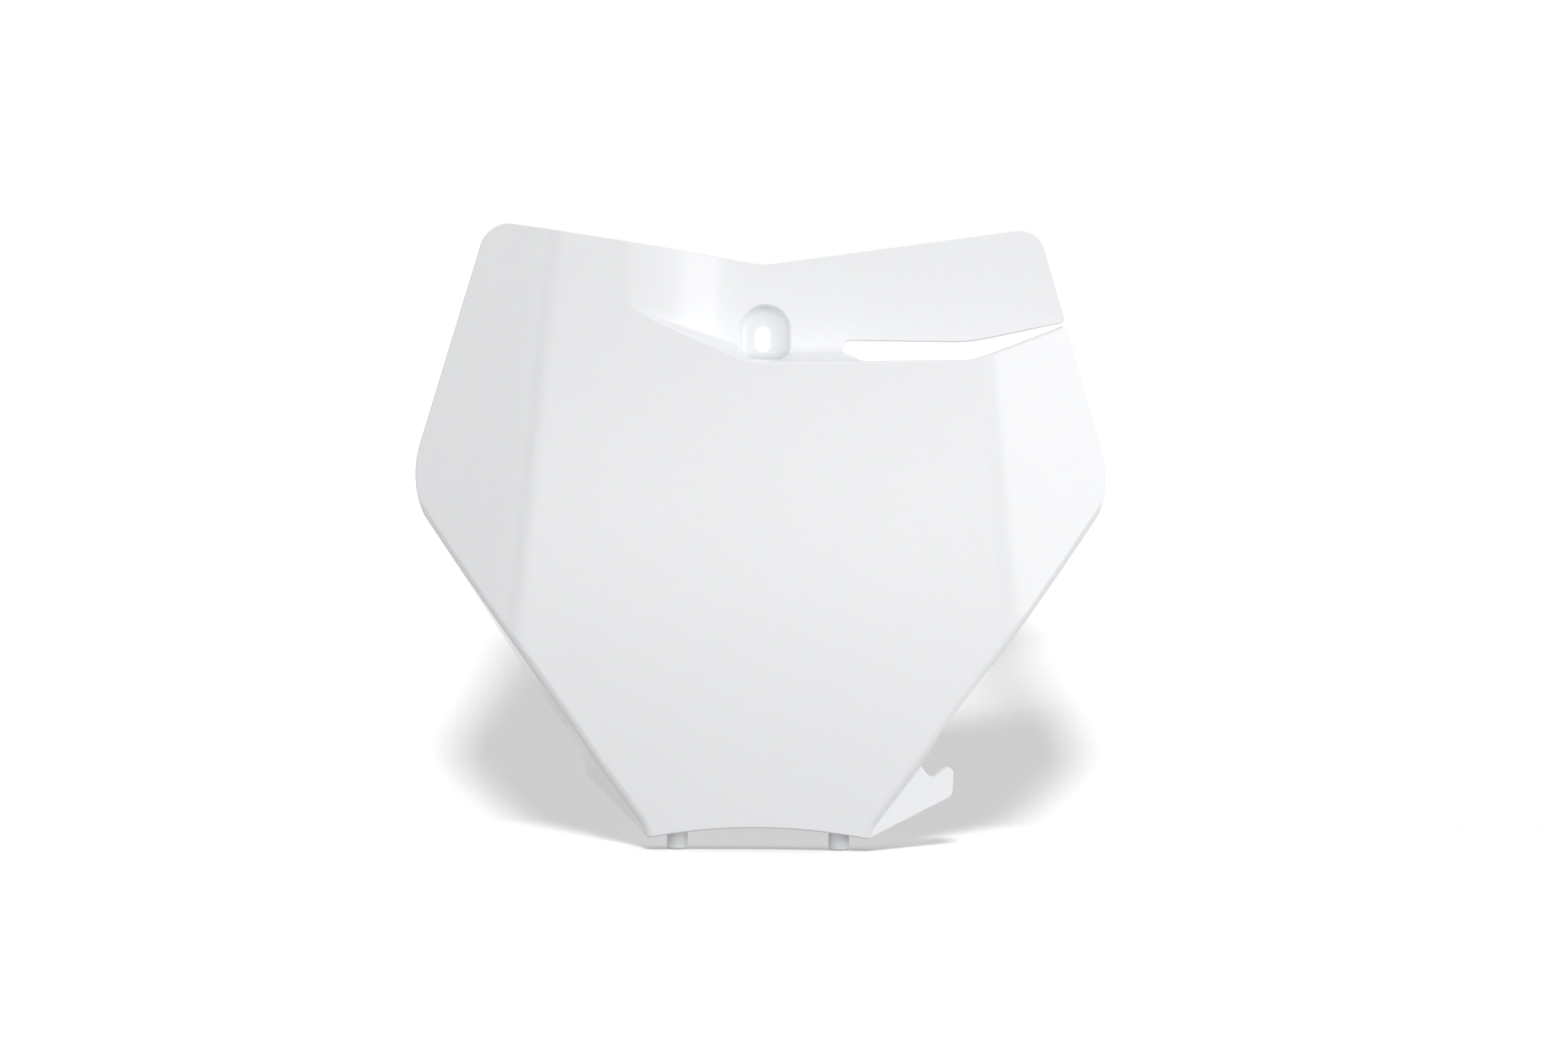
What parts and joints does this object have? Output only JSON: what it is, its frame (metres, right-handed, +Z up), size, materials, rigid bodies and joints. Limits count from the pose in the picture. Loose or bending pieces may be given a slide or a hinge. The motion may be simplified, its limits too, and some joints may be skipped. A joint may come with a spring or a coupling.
{
  "type": "racing number board",
  "caption": "Front number board for an off-road motorbike: crowned white panel with bent wings, set-back top strip with a bolt pocket, hose slot, folded lower flanges, hook and pegs.",
  "frame": {"origin": "middle of the bolt slot, on the flat rear face of its boss, where the board seats", "axes": "X runs right as seen from the front, Z runs up, and the board's front faces -Y"},
  "size_m": [0.2688, 0.031, 0.2406],
  "materials": {
    "board": "gloss white moulded polypropylene"
  },
  "bodies": {
    "root": {"number_board": "board"}
  },
  "joints": []
}
